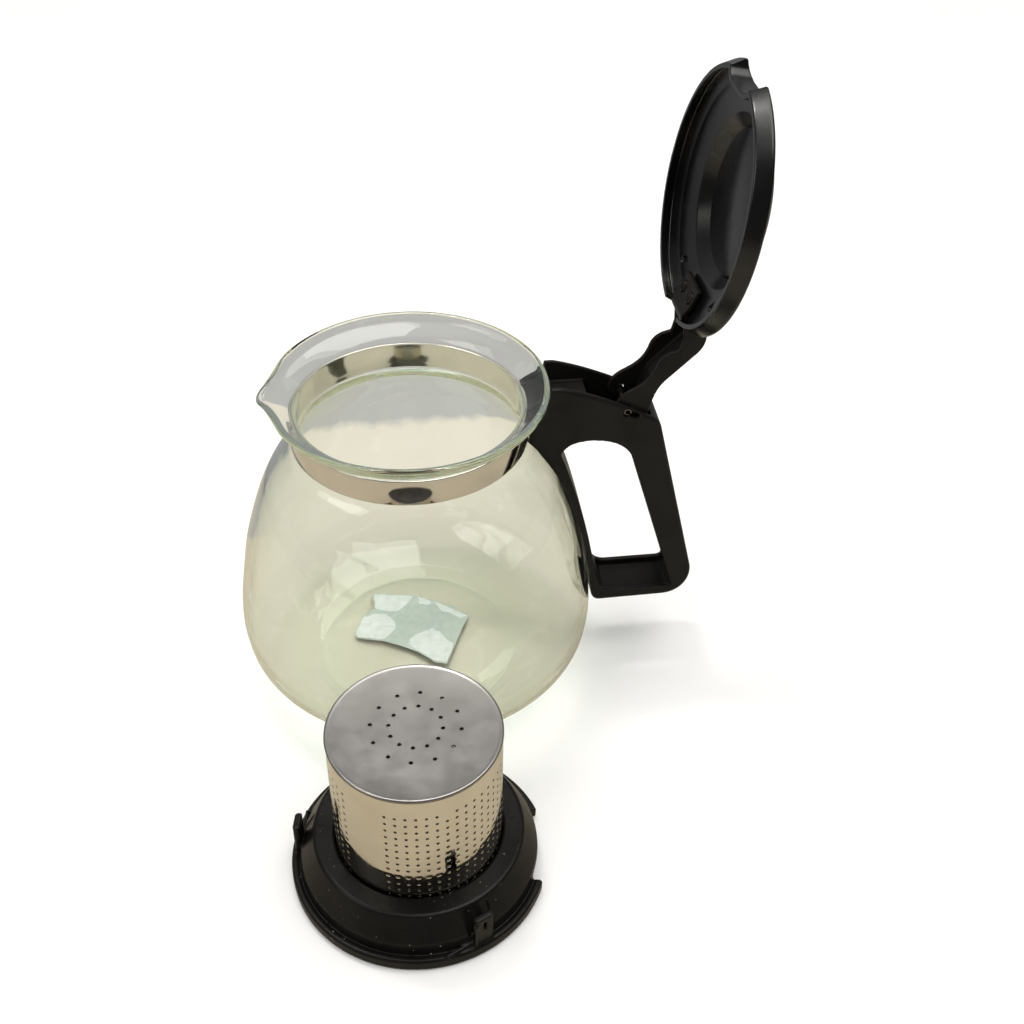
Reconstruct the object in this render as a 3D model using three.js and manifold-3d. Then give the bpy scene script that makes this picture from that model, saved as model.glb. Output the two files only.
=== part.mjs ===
// Glass teapot with a hinged black lid and a lift-out steel infuser. Millimetres, +Z up.
// The origin is the centre of the glass base, on the surface the pot stands on.
// +X points to the handle and -X to the pouring spout. The infuser stands upside down at -Y.
import * as THREE from 'three';
import { mergeVertices } from 'three/addons/utils/BufferGeometryUtils.js';
import Module from 'manifold-3d';

const wasm = await Module();
wasm.setup();

// ---------- driving dimensions ----------
const GAP = 0.3;                 // clearance between pieces that touch
const TURNS = 60;                // sides of a full round

const BASE_R = 41;               // flat standing face of the glass
const BASE_T = 3;                // glass thickness under the tea
const GLASS_T = 2.2;             // wall of the glass
const NECK_R = 43.9;             // outside of the neck
const NECK_LOW = 114.5;          // the straight neck starts here
const NECK_TOP = 125.8;          // and flares from here
const RIM_R = 52.4;              // outside of the rim
const RIM_Z = 134.7;             // centre height of the rim bead
const BEAD = 1.25;               // radius of the rim bead
const SPOUT_OUT = 3.2;           // how far the pouring lip is drawn out
const SPOUT_ANGLE = 0.13;        // half width of the lip, in radians
const SPOUT_PINCH = 0.6;         // how far the rim is pinched in on each side of it

const BAND_T = 0.8;              // steel neck band
const BAND_LOW = 115.1;          // its lower edge
const BAND_TOP = 125.8;          // and its upper edge
const BAND_GAP_ANGLE = 0.145;    // half of the band's open angle, at the handle
const EAR_OUT = 53;              // how far the band's ears reach into the handle
const EAR_HOOK = 2.6;            // length of the hook at the end of each ear
const CLAMP_Z = 120.45;          // height of the clamp screw
const CLAMP_R = 1.5;             // its shank
const CLAMP_HEAD_R = 2.9;        // and its head
const CLAMP_PLATE = [2.3, 10, 8]; // threaded plate, X, Y and Z

const HANDLE_W = 21.4;           // width of the handle
const PLATE = 2.2;               // moulded wall of the handle
const LEDGE_Z = 127.8;           // floor of the trough next to the neck
const LEDGE_T = 1.6;             // and its thickness
const LEDGE_END = 67;            // where the floor drops
const POCKET_Z = 114.3;          // floor of the deep pocket under the lid arm
const BAR_FLOOR = 30.7;          // floor of the bottom bar's channel

const HINGE = [81.3, 124.0];     // hinge axis, X and Z
const PIN_R = 1.5;
const PIN_INSET = 0.3;           // the pin's ends lie this far inside the side plates
const SLOT_REACH = [3.2, -1.4];  // the pin hole runs on this far as a slot
const OPEN_DEG = 100;            // the lid rests open at this angle

const LID_X = -2.3;              // centre of the closed lid
const LID_Z = 132.1;             // lower edge of the closed lid's skirt
const LID_LOW_R = 44.6;          // skirt radius at its lower edge
const LID_TOP_R = 46.9;          // skirt radius under the dome
const SKIRT_H = 5.6;
const LID_T = 1.8;               // moulded wall of the lid
const LID_BOSS = 15;             // flat top of the lid above the skirt's lower edge
const BOSS_R = 25.4;             // and its radius
const NOTCH_HALF = 12;           // pour notch in the lid
const NOTCH_DEEP = 7;
const ARM_W = 16;                // width of the lid arm
const ARM_T = 1.8;               // its wall
const ARM_SCREW_X = 34;          // screws between the arm and the dome
const ARM_SCREW_Z = 136.9;       // seat of their heads, sunk into the arm
const ARM_SCREW_TOP = 140.1;     // their other ends, inside the dome
const ARM_SCREW_YS = [-4.4, 4.4];
const ARM_SCREW_R = 1;
const ARM_SCREW_HEAD_R = 2.1;
const LABEL_T = 0.2;             // thickness of the paper label

const INFUSER = [-7.8, -109.0];  // axis of the infuser, X and Y
const COLLAR_R = 46.8;           // flange of the collar
const COLLAR_LIP = 5;            // height of the flange
const COLLAR_H = 19;             // height of the collar
const LEDGE_R = 38;              // outer edge of the ledge around the basket
const BASKET_R = 30.1;
const BASKET_TOP = 70.9;         // the basket's closed end, which is up here
const SHEET = 0.6;               // thickness of the basket's steel
const NOTCH_MID = -4;            // direction of the collar's pour notch, in degrees
const NOTCH_SPAN = 20;           // half of its angle
const TAB_ANGLES = [-64.5, 170.5]; // snap tabs of the collar
const TAB_W = 7.2;
const TAB_TOP = 18.5;
const RETAINER = [13.4, 15.7];   // lower and upper face of the ring that holds the basket

// ---------- colours ----------
const glassLook = material(0xdfe8dc, 0.05, 0.0);
const steelLook = material(0xc9c8c2, 0.15, 1.0);
const brushedLook = material(0x9c9c9c, 0.35, 1.0);
const blackLook = material(0x1d1b19, 0.38, 0.0);
const glossLook = material(0x0e0e10, 0.15, 0.0);
const paperLook = material(0xd5e0e0, 0.8, 0.0);

function material(color, roughness, metalness) {
  return new THREE.MeshStandardMaterial({ color, roughness, metalness });
}

// ---------- solids ----------
function solid(geometry) {
  const plain = geometry.clone();
  plain.deleteAttribute('normal');
  plain.deleteAttribute('uv');
  const merged = mergeVertices(plain, 1e-4);
  const vertProperties = new Float32Array(merged.attributes.position.array);
  const triVerts = new Uint32Array(merged.index.array);
  return new wasm.Manifold(new wasm.Mesh({ numProp: 3, vertProperties, triVerts }));
}

function named(name, shape, look) {
  let geometry = shape;
  if (!shape.isBufferGeometry) {
    const mesh = shape.getMesh();
    geometry = new THREE.BufferGeometry();
    geometry.setAttribute('position', new THREE.BufferAttribute(mesh.vertProperties, 3));
    geometry.setIndex(new THREE.BufferAttribute(mesh.triVerts, 1));
    geometry.computeVertexNormals();
  }
  const piece = new THREE.Mesh(geometry, look);
  piece.name = name;
  return piece;
}

function lathe(points, sides = TURNS) {
  const geometry = new THREE.LatheGeometry(vectors(points), sides);
  geometry.rotateX(Math.PI / 2);
  return geometry;
}

function ring(points, sides = TURNS) {
  return lathe([...points, points[0]], sides);
}

// An outline in X and Z, extruded along Y from -width/2 to width/2.
function slab(shape, width, curveSegments = 8) {
  const geometry = new THREE.ExtrudeGeometry(shape, { depth: width, bevelEnabled: false, curveSegments });
  geometry.rotateX(Math.PI / 2);
  geometry.translate(0, width / 2, 0);
  return geometry;
}

function outline(points) {
  return new THREE.Shape(vectors(points));
}

function box(x0, x1, y0, y1, z0, z1) {
  const geometry = new THREE.BoxGeometry(x1 - x0, y1 - y0, z1 - z0);
  geometry.translate((x0 + x1) / 2, (y0 + y1) / 2, (z0 + z1) / 2);
  return geometry;
}

// A round bar along Y.
function bar(x, z, radius, y0, y1, sides = 24) {
  const geometry = new THREE.CylinderGeometry(radius, radius, y1 - y0, sides);
  geometry.translate(x, (y0 + y1) / 2, z);
  return geometry;
}

// ---------- glass ----------
// Half outline of the outside: the round body, the straight neck and the flared rim.
const bodyPoints = [
  [BASE_R, 0], [48.2, 3.0], [59.3, 9.6], [69.0, 18.6], [71.9, 28.5], [71.4, 39], [69.3, 51.5],
  [65.9, 68.7], [58.1, 91.6], [48.8, 107.8], [45.0, 112.6], [NECK_R, NECK_LOW],
];
const flarePoints = [
  [NECK_R, NECK_TOP], [44.5, 127.2], [47.0, 129.2], [50.4, 131.2], [RIM_R - 0.2, RIM_Z - 1.2],
];

function vectors(points) {
  return points.map(([x, y]) => new THREE.Vector2(x, y));
}

// The outline moved sideways by the given distance, outwards if it is positive.
function sideOffset(distance, detail = 1) {
  const stretches = [
    [new THREE.SplineCurve(vectors(bodyPoints)), 13 * detail],
    [new THREE.LineCurve(...vectors([[NECK_R, NECK_LOW], [NECK_R, NECK_TOP]])), 1],
    [new THREE.SplineCurve(vectors(flarePoints)), 5 * detail],
  ];
  const points = [];
  for (const [curve, steps] of stretches) {
    for (let i = 0; i <= steps; i += 1) {
      const at = curve.getPointAt(i / steps);
      const along = curve.getTangentAt(i / steps);
      points.push([at.x + along.y * distance, at.y - along.x * distance]);
    }
  }
  return points.filter(([r, z], i) => (
    i === 0 || Math.hypot(r - points[i - 1][0], z - points[i - 1][1]) > 0.2));
}

function rimBead() {
  const points = [];
  for (let i = 0; i <= 4; i += 1) {
    const angle = (Math.PI * i) / 4;
    points.push([RIM_R - BEAD + BEAD * Math.cos(angle), RIM_Z + BEAD * Math.sin(angle)]);
  }
  return points;
}

function glassProfile() {
  const outside = sideOffset(0);
  const inside = sideOffset(-GLASS_T).filter(([r, z]) => (
    z > BASE_T + 1.2 && (z < NECK_TOP || r < RIM_R - 2 * BEAD)));
  return [[0, 0], ...outside, ...rimBead(), ...inside.reverse(), [BASE_R - 3, BASE_T], [0, BASE_T]];
}

// Draws the rim out into a pouring lip at -X and pinches it in on both sides.
function spoutShift(angleFromSpout, height) {
  const rise = Math.min(Math.max((height - NECK_TOP - 1) / (RIM_Z - NECK_TOP - 1), 0), 1);
  const lip = Math.exp(-((angleFromSpout / SPOUT_ANGLE) ** 2));
  const side = Math.exp(-(((Math.abs(angleFromSpout) - 0.32) / 0.13) ** 2));
  return { out: rise ** 2 * (SPOUT_OUT * lip - SPOUT_PINCH * side), down: rise ** 3 * 1.4 * lip };
}

function addSpout(geometry) {
  const position = geometry.attributes.position;
  const point = new THREE.Vector3();
  for (let i = 0; i < position.count; i += 1) {
    point.fromBufferAttribute(position, i);
    const radius = Math.hypot(point.x, point.y);
    if (radius > 1) {
      const shift = spoutShift(Math.atan2(point.y, -point.x), point.z);
      const scale = (radius + shift.out) / radius;
      position.setXYZ(i, point.x * scale, point.y * scale, point.z - shift.down);
    }
  }
  return geometry;
}

function glassBody() {
  return named('glass_body', addSpout(lathe(glassProfile(), 72)), glassLook);
}

// Everything inside this solid belongs to the glass and its clearance.
function glassKeepOut(clearance) {
  const side = sideOffset(clearance, 2);
  return solid(lathe([[0, -2], [side[0][0], -2], ...side, [RIM_R + clearance, RIM_Z],
    [RIM_R + clearance, 150], [0, 150]]));
}

// Paper left from a torn label, lying on the glass inside the base.
function labelRemnant() {
  const torn = outline([[-19.1, 30.6], [-0.3, 27.7], [16, 19], [22.9, 12.5], [19.1, 5.4],
    [15.2, -5.2], [10.5, -16], [6, -14.9], [-2.8, -7.3], [-15.2, 0.4], [-27.3, 3.6], [-27.7, 6.8],
    [-24, 16.6], [-18.5, 21.7]]);
  const sheet = new THREE.ExtrudeGeometry(torn, { depth: LABEL_T, bevelEnabled: false });
  sheet.translate(0, 0, BASE_T + GAP);
  return named('label_remnant', sheet, paperLook);
}

// ---------- neck band and its clamp ----------
function bandArc(radius, from, to, steps) {
  const points = [];
  for (let i = 0; i <= steps; i += 1) {
    const angle = from + ((to - from) * i) / steps;
    points.push(new THREE.Vector2(radius * Math.cos(angle), radius * Math.sin(angle)));
  }
  return points;
}

// One strip: round the neck, out along both ears and hooked inwards at their ends.
function neckBand() {
  const inner = NECK_R + GAP;
  const outer = inner + BAND_T;
  const from = BAND_GAP_ANGLE;
  const to = 2 * Math.PI - BAND_GAP_ANGLE;
  const y = inner * Math.sin(from);
  const ear = (side) => [
    [inner * Math.cos(from), side * (y - BAND_T)], [EAR_OUT - BAND_T, side * (y - BAND_T)],
    [EAR_OUT - BAND_T, side * (y - EAR_HOOK)], [EAR_OUT, side * (y - EAR_HOOK)], [EAR_OUT, side * y],
    [outer * Math.cos(from) + 0.4, side * y],
  ].map(([px, py]) => new THREE.Vector2(px, py));
  const strip = new THREE.Shape([
    ...bandArc(inner, from, to, 64), ...ear(-1),
    ...bandArc(outer, to - 0.01, from + 0.01, 64), ...ear(1).reverse(),
  ]);
  const geometry = new THREE.ExtrudeGeometry(strip, { depth: BAND_TOP - BAND_LOW, bevelEnabled: false });
  geometry.translate(0, 0, BAND_LOW);
  return named('neck_band', geometry, steelLook);
}

// Threaded plate that pulls on the hooks of both ears.
function clampPlate() {
  const [thick, wide, high] = CLAMP_PLATE;
  const face = EAR_OUT - BAND_T - GAP;
  const plate = solid(box(face - thick, face, -wide / 2, wide / 2,
    CLAMP_Z - high / 2, CLAMP_Z + high / 2));
  const bore = solid(screwRod(CLAMP_R + GAP, face - 4, face + 4));
  return named('clamp_plate', plate.subtract(bore), steelLook);
}

function screwRod(radius, x0, x1) {
  const rod = new THREE.CylinderGeometry(radius, radius, x1 - x0, 20);
  rod.rotateZ(Math.PI / 2);
  rod.translate((x0 + x1) / 2, 0, CLAMP_Z);
  return rod;
}

// Its head bears on the wall under the ledge, inside the deep pocket.
function clampScrew() {
  const shank = solid(screwRod(CLAMP_R, EAR_OUT - BAND_T - 3.4, LEDGE_END + 0.6));
  const head = solid(screwRod(CLAMP_HEAD_R, LEDGE_END + GAP, LEDGE_END + 2.2));
  const recess = solid(box(LEDGE_END + 1.3, LEDGE_END + 3, -1.6, 1.6, CLAMP_Z - 0.4, CLAMP_Z + 0.4));
  return named('clamp_screw', shank.add(head).subtract(recess), steelLook);
}

// ---------- handle ----------
function handleOutline() {
  const shape = new THREE.Shape();
  shape.moveTo(40, 136.5);
  shape.lineTo(55.3, 136.5);
  shape.bezierCurveTo(66, 134, 80, 127.5, 90.5, 121.4);
  shape.quadraticCurveTo(94, 119.8, 95, 116);
  shape.lineTo(113.3, 43.6);
  shape.bezierCurveTo(114.6, 36, 110, 29.2, 102.5, 29);
  shape.lineTo(75.6, 28.6);
  shape.quadraticCurveTo(72.6, 28.7, 72, 32.4);
  shape.lineTo(70, 46);
  shape.lineTo(40, 60);
  return shape;
}

function fingerOpening() {
  const shape = new THREE.Shape();
  shape.moveTo(56.6, 106.5);
  shape.bezierCurveTo(58.5, 111.3, 63, 112.3, 68.5, 112.2);
  shape.bezierCurveTo(76, 112, 83, 109, 85.2, 101);
  shape.lineTo(105.6, 36);
  shape.quadraticCurveTo(106.2, 33.4, 104, 33.4);
  shape.lineTo(80.5, 33.4);
  shape.bezierCurveTo(76, 34, 74.4, 37.5, 73.2, 43);
  shape.bezierCurveTo(70.5, 60, 66.5, 80, 56.6, 106.5);
  return shape;
}

// Space between the two side plates: the grip's channel and the bottom bar's channel.
function gripChannel() {
  return outline([[82, 101], [89, 102.5], [96, 102.5], [111, 43.4], [109.6, 35.5], [104.5, BAR_FLOOR],
    [78, BAR_FLOOR], [76.5, 33], [80, 60], [98, 60]]);
}

// Space above the finger opening: the trough for the lid arm, and the clamp's housing.
function troughHollow() {
  return outline([[30, LEDGE_Z], [LEDGE_END, LEDGE_Z], [LEDGE_END, POCKET_Z], [86, POCKET_Z],
    [91.6, 112.8], [91, 119], [90, 126], [80, 145], [30, 145]]);
}

function clampHousing() {
  return outline([[40, 112], [50, 109.8], [LEDGE_END - PLATE, 113.5],
    [LEDGE_END - PLATE, LEDGE_Z - LEDGE_T], [40, LEDGE_Z - LEDGE_T]]);
}

function pinSlot() {
  const [dx, dz] = SLOT_REACH;
  const radius = PIN_R + GAP;
  const start = solid(bar(HINGE[0], HINGE[1], radius, -15, 15));
  const end = solid(bar(HINGE[0] + dx, HINGE[1] + dz, radius - 0.5, -15, 15));
  const link = new THREE.BoxGeometry(Math.hypot(dx, dz), 30, 2 * radius - 1);
  link.rotateY(-Math.atan2(dz, dx));
  link.translate(HINGE[0] + dx / 2, 0, HINGE[1] + dz / 2);
  return start.add(end).add(solid(link));
}

function handleFrame() {
  const inner = HANDLE_W - 2 * PLATE;
  const bandSide = NECK_R + BAND_T + 2 * GAP;
  const bandSpace = solid(lathe([[0, BAND_LOW - 0.8], [bandSide, BAND_LOW - 0.8],
    [bandSide, BAND_TOP + 0.5], [0, BAND_TOP + 0.5]]));
  const frame = solid(slab(handleOutline(), HANDLE_W))
    .subtract(solid(slab(fingerOpening(), 40)))
    .subtract(solid(slab(gripChannel(), inner)))
    .subtract(solid(slab(troughHollow(), inner)))
    .subtract(solid(slab(clampHousing(), inner)))
    .subtract(solid(screwRod(CLAMP_R + GAP, 60, 75)))
    .subtract(pinSlot())
    .subtract(glassKeepOut(0.5))
    .subtract(bandSpace);
  return named('handle_frame', frame, blackLook);
}

function hingePin() {
  const half = HANDLE_W / 2 - PIN_INSET;
  return named('hinge_pin', bar(HINGE[0], HINGE[1], PIN_R, -half, half, 20), steelLook);
}

// ---------- lid, drawn closed and then turned open about the hinge ----------
function lidSkirtRadius(height) {
  return LID_LOW_R + ((LID_TOP_R - LID_LOW_R) * height) / SKIRT_H;
}

// The dome rises gently and carries a round boss in the middle.
function domeOutside() {
  return [[lidSkirtRadius(0), 0], [LID_TOP_R, SKIRT_H - 0.6], [LID_TOP_R - 0.9, SKIRT_H + 0.5],
    [40, 8.0], [33.5, 9.6], [31.6, 10.4], [27.2, LID_BOSS - 1], [BOSS_R, LID_BOSS - 0.1],
    [BOSS_R - 1.4, LID_BOSS], [0, LID_BOSS]];
}

function domeInside() {
  return [[lidSkirtRadius(0) - LID_T, 0], [LID_TOP_R - LID_T, SKIRT_H - LID_T], [40, 8.0 - LID_T],
    [33.5, 9.6 - LID_T], [30, 8.7], [BOSS_R - 0.1, LID_BOSS - LID_T], [0, LID_BOSS - LID_T]];
}

function lidFill(points) {
  const filled = lathe([[0, -0.01 + points[0][1]], ...points]);
  filled.translate(LID_X, 0, LID_Z);
  return solid(filled);
}

// Upright prism at the front of the lid: straight sides and a rounded inner end.
function pourNotch(margin) {
  const half = NOTCH_HALF + margin;
  const inner = LID_X - LID_TOP_R + NOTCH_DEEP + margin;
  const shape = new THREE.Shape();
  shape.moveTo(-70, -half - 4);
  shape.lineTo(LID_X - LID_TOP_R, -half);
  shape.bezierCurveTo(inner, -half, inner, -half / 2, inner, 0);
  shape.bezierCurveTo(inner, half / 2, inner, half, LID_X - LID_TOP_R, half);
  shape.lineTo(-70, half + 4);
  const prism = new THREE.ExtrudeGeometry(shape, { depth: 40, bevelEnabled: false, curveSegments: 8 });
  prism.translate(0, 0, LID_Z - 10);
  return solid(prism);
}

function lidCap() {
  const hollow = lidFill([[lidSkirtRadius(0) - LID_T, -1], ...domeInside()]).subtract(pourNotch(LID_T));
  const armGap = solid(box(40.2, 60, -ARM_W / 2 - 0.5, ARM_W / 2 + 0.5, LID_Z - 2, LID_Z + 20));
  const cap = lidFill(domeOutside()).subtract(pourNotch(0)).subtract(hollow).subtract(armGap);
  return named('lid_cap', drillScrewHoles(cap), glossLook);
}

// A plate that closes the hollow of the boss from below.
function lidPlate() {
  const face = LID_BOSS - LID_T - GAP - 0.6;
  const plate = lathe([[0, face], [BOSS_R - 0.8, face], [BOSS_R - 0.4, face + 0.3],
    [BOSS_R - 0.4, face + 0.6], [0, face + 0.6]]);
  plate.translate(LID_X, 0, LID_Z);
  return named('lid_plate', plate, glossLook);
}

function armOutline() {
  const shape = new THREE.Shape();
  shape.moveTo(81.6, 132.6);
  shape.bezierCurveTo(74, 132.6, 70, 133.6, 66.6, 136.0);
  shape.lineTo(54.4, 144.4);
  shape.quadraticCurveTo(50.6, 146.9, 46.4, 145.9);
  shape.quadraticCurveTo(41.4, 144.8, 40.8, 141.0);
  shape.lineTo(40.8, 135.6);
  shape.lineTo(36, 137.5);
  shape.lineTo(29.4, 139.1);
  shape.lineTo(29.4, 137.4);
  shape.lineTo(36, 135.8);
  shape.lineTo(39.5, 134.0);
  shape.quadraticCurveTo(42, 133.8, 44.5, 136.4);
  shape.lineTo(49.6, 137.7);
  shape.lineTo(54.2, 137.5);
  shape.quadraticCurveTo(56, 131.8, 61, 130.9);
  shape.bezierCurveTo(66.5, 130.4, 69.4, 128.4, 72.6, 124.4);
  shape.bezierCurveTo(75.6, 120.4, 78, 119.2, 81.4, 119.2);
  shape.bezierCurveTo(86.6, 119.8, 88.2, 131.6, 81.6, 132.6);
  return shape;
}

// The arm is a channel: this is the space between its two walls.
function armHollow() {
  return outline([[84, 110], [86, 128], [81, 130.6], [74, 130.8], [69.5, 131.8], [65.6, 134.2],
    [53.6, 142.4], [50, 144.2], [46.5, 143.6], [43.6, 141.6], [43, 137], [44, 130], [60, 110]]);
}

function lidArm() {
  const arm = solid(slab(armOutline(), ARM_W, 5))
    .subtract(solid(slab(armHollow(), ARM_W - 2 * ARM_T)))
    .subtract(solid(bar(HINGE[0], HINGE[1], PIN_R + GAP, -15, 15)));
  return named('lid_arm', drillScrewHoles(arm), blackLook);
}

// The tongue of the arm is screwed to the dome from below.
function uprightRod(radius, y, z0, z1) {
  const rod = new THREE.CylinderGeometry(radius, radius, z1 - z0, 16);
  rod.rotateX(Math.PI / 2);
  rod.translate(ARM_SCREW_X, y, (z0 + z1) / 2);
  return solid(rod);
}

function armScrew(name, y) {
  const shank = uprightRod(ARM_SCREW_R, y, ARM_SCREW_Z, ARM_SCREW_TOP);
  const head = uprightRod(ARM_SCREW_HEAD_R, y, ARM_SCREW_Z - 1, ARM_SCREW_Z + 0.2);
  return named(name, shank.add(head), blackLook);
}

function drillScrewHoles(piece) {
  let drilled = piece;
  for (const y of ARM_SCREW_YS) {
    drilled = drilled
      .subtract(uprightRod(ARM_SCREW_R + GAP, y, ARM_SCREW_Z, ARM_SCREW_TOP + GAP))
      .subtract(uprightRod(ARM_SCREW_HEAD_R + GAP, y, ARM_SCREW_Z - 4, ARM_SCREW_Z + 0.5));
  }
  return drilled;
}

function openLid() {
  const [x, z] = HINGE;
  const swing = new THREE.Group();
  swing.position.set(x, 0, z);
  swing.rotation.y = THREE.MathUtils.degToRad(OPEN_DEG);
  const closed = new THREE.Group();
  closed.position.set(-x, 0, -z);
  closed.add(lidCap(), lidPlate(), lidArm());
  closed.add(armScrew('arm_screw_near', ARM_SCREW_YS[0]), armScrew('arm_screw_far', ARM_SCREW_YS[1]));
  swing.add(closed);
  return swing;
}

// ---------- infuser, upside down ----------
function collarNotch() {
  const reach = 60;
  const half = THREE.MathUtils.degToRad(NOTCH_SPAN);
  const inner = LEDGE_R + 4.2;
  const shape = new THREE.Shape();
  shape.moveTo(reach * Math.cos(-half), reach * Math.sin(-half));
  shape.lineTo(reach * Math.cos(half), reach * Math.sin(half));
  shape.lineTo((inner + 1) * Math.cos(half), (inner + 1) * Math.sin(half));
  shape.quadraticCurveTo(inner - 1.5, 0, (inner + 1) * Math.cos(-half), (inner + 1) * Math.sin(-half));
  const wedge = new THREE.ExtrudeGeometry(shape, { depth: COLLAR_LIP + 4, bevelEnabled: false });
  wedge.translate(0, 0, -2);
  wedge.rotateZ(THREE.MathUtils.degToRad(NOTCH_MID));
  return solid(wedge);
}

function snapTab(degrees) {
  const post = box(43, 45.5, -TAB_W / 2, TAB_W / 2, COLLAR_LIP - 1.2, TAB_TOP);
  const slot = box(41, 50, -0.55, 0.55, TAB_TOP - 6.2, TAB_TOP - 2.4);
  const tab = solid(post).subtract(solid(slot));
  return tab.rotate([0, 0, degrees]);
}

function collar() {
  const wall = ring([[COLLAR_R, 0], [COLLAR_R, COLLAR_LIP], [43.6, COLLAR_LIP], [43.0, 9.3],
    [LEDGE_R, COLLAR_H], [BASKET_R + GAP, COLLAR_H], [BASKET_R + GAP, COLLAR_H - 2],
    [LEDGE_R - 1.4, COLLAR_H - 2], [40.4, 9.3], [41.2, 2.4], [43.8, 1.8], [44.2, 0]]);
  let body = solid(wall).subtract(collarNotch());
  for (const degrees of TAB_ANGLES) {
    body = body.add(snapTab(degrees));
  }
  return named('infuser_collar', body, blackLook);
}

function basketRetainer() {
  const [low, high] = RETAINER;
  const inside = BASKET_R - 0.4;
  const retainer = ring([[inside, low], [37.9, low], [36.8, high], [inside, high]]);
  return named('infuser_retainer', retainer, blackLook);
}

function basketWall() {
  const lip = COLLAR_H - 2 - GAP;
  return named('basket_wall', ring([[BASKET_R - SHEET, lip - SHEET], [34.5, lip - SHEET], [34.5, lip],
    [BASKET_R, lip], [BASKET_R, BASKET_TOP - 1.4], [BASKET_R - SHEET, BASKET_TOP - 1.4]]), steelLook);
}

// The disc is crimped over the wall, so its rim is a little wider and rounded.
function basketBottom() {
  const edge = BASKET_R + 0.25;
  const inside = BASKET_R - SHEET - GAP;
  return named('basket_bottom', lathe([[0, BASKET_TOP - 1.3], [inside - 0.8, BASKET_TOP - 1.3],
    [inside, BASKET_TOP - 3], [inside, BASKET_TOP - 1.1], [edge, BASKET_TOP - 1.1], [edge, BASKET_TOP - 0.5],
    [edge - 0.6, BASKET_TOP], [BASKET_R - 1.6, BASKET_TOP], [BASKET_R - 2.4, BASKET_TOP - 0.6],
    [0, BASKET_TOP - 0.6]]), brushedLook);
}

function infuser() {
  const group = new THREE.Group();
  group.position.set(INFUSER[0], INFUSER[1], 0);
  group.add(collar(), basketRetainer(), basketWall(), basketBottom());
  return group;
}

const teapot = new THREE.Group();
teapot.add(
  glassBody(), labelRemnant(), neckBand(), clampPlate(), clampScrew(), handleFrame(), hingePin(),
  openLid(), infuser(),
);

export default teapot;
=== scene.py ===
"""Looks of a glass teapot with a hinged black lid and a lift-out steel infuser.

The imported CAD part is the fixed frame. Lengths below are millimetres in that frame, and MM
turns them into metres. +X points to the handle and +Z up. The infuser stands at -Y.
"""
import math

import bmesh
import bpy
import numpy as np
from mathutils import Matrix, Vector, noise


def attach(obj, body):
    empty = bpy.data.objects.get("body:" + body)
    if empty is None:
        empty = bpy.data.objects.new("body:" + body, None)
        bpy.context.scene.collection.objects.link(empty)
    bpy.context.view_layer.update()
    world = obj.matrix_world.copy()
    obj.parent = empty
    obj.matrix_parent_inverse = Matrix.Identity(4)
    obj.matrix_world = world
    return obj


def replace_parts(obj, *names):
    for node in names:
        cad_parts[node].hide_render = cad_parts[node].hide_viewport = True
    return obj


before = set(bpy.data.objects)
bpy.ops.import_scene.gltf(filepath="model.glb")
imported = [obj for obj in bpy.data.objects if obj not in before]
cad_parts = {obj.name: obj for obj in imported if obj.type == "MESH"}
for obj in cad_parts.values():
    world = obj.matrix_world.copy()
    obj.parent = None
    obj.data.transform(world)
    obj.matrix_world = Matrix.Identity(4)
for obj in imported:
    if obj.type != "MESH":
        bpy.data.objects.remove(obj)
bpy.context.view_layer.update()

MM = 0.001
GAP = 0.3  # clearance between pieces that fit together

# ---------- dimensions shared with the CAD part ----------
BASE_R, BASE_T, GLASS_T = 41.0, 3.0, 2.2
NECK_R, NECK_LOW, NECK_TOP = 43.9, 114.5, 125.8
RIM_R, RIM_Z, BEAD = 52.4, 134.7, 1.25
SPOUT_OUT, SPOUT_ANGLE, SPOUT_PINCH = 3.2, 0.13, 0.6
BAND_T, BAND_LOW, BAND_TOP, BAND_GAP_ANGLE, EAR_OUT, EAR_HOOK = 0.8, 115.1, 125.8, 0.145, 53.0, 2.6
CLAMP_Z = 120.45
HANDLE_W, PLATE = 21.4, 2.2
LEDGE_Z, LEDGE_T, LEDGE_END, POCKET_Z, BAR_FLOOR = 127.8, 1.6, 67.0, 114.3, 30.7
HINGE, PIN_R, SLOT_REACH, OPEN_DEG = (81.3, 124.0), 1.5, (3.2, -1.4), 100.0
LID_X, LID_Z, LID_LOW_R, LID_TOP_R, SKIRT_H, LID_T = -2.3, 132.1, 44.6, 46.9, 5.6, 1.8
LID_BOSS, BOSS_R, NOTCH_HALF, NOTCH_DEEP, ARM_W, ARM_T = 15.0, 25.4, 12.0, 7.0, 16.0, 1.8
ARM_SCREW_X, ARM_SCREW_Z, ARM_SCREW_TOP, ARM_SCREW_Y = 34.0, 136.9, 140.1, 4.4
INFUSER = (-7.8, -109.0)
COLLAR_R, COLLAR_LIP, COLLAR_H, LEDGE_R = 46.8, 5.0, 19.0, 38.0
BASKET_R, BASKET_TOP, SHEET = 30.1, 70.9, 0.6
NOTCH_MID, NOTCH_SPAN, TAB_ANGLES, TAB_W, TAB_TOP = -4.0, 20.0, (-64.5, 170.5), 7.2, 18.5


# ---------- mesh helpers ----------
def mesh_object(name, points, faces, smooth=True):
    """A new object from points in millimetres, with its faces turned outwards."""
    mesh = bpy.data.meshes.new(name)
    work = bmesh.new()
    corners = [work.verts.new(Vector(p) * MM) for p in points]
    for face in faces:
        if len(set(face)) > 2:
            work.faces.new([corners[i] for i in dict.fromkeys(face)])
    bmesh.ops.recalc_face_normals(work, faces=work.faces)
    work.to_mesh(mesh)
    work.free()
    if smooth:
        mesh.shade_smooth()
    obj = bpy.data.objects.new(name, mesh)
    bpy.context.scene.collection.objects.link(obj)
    return obj


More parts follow.
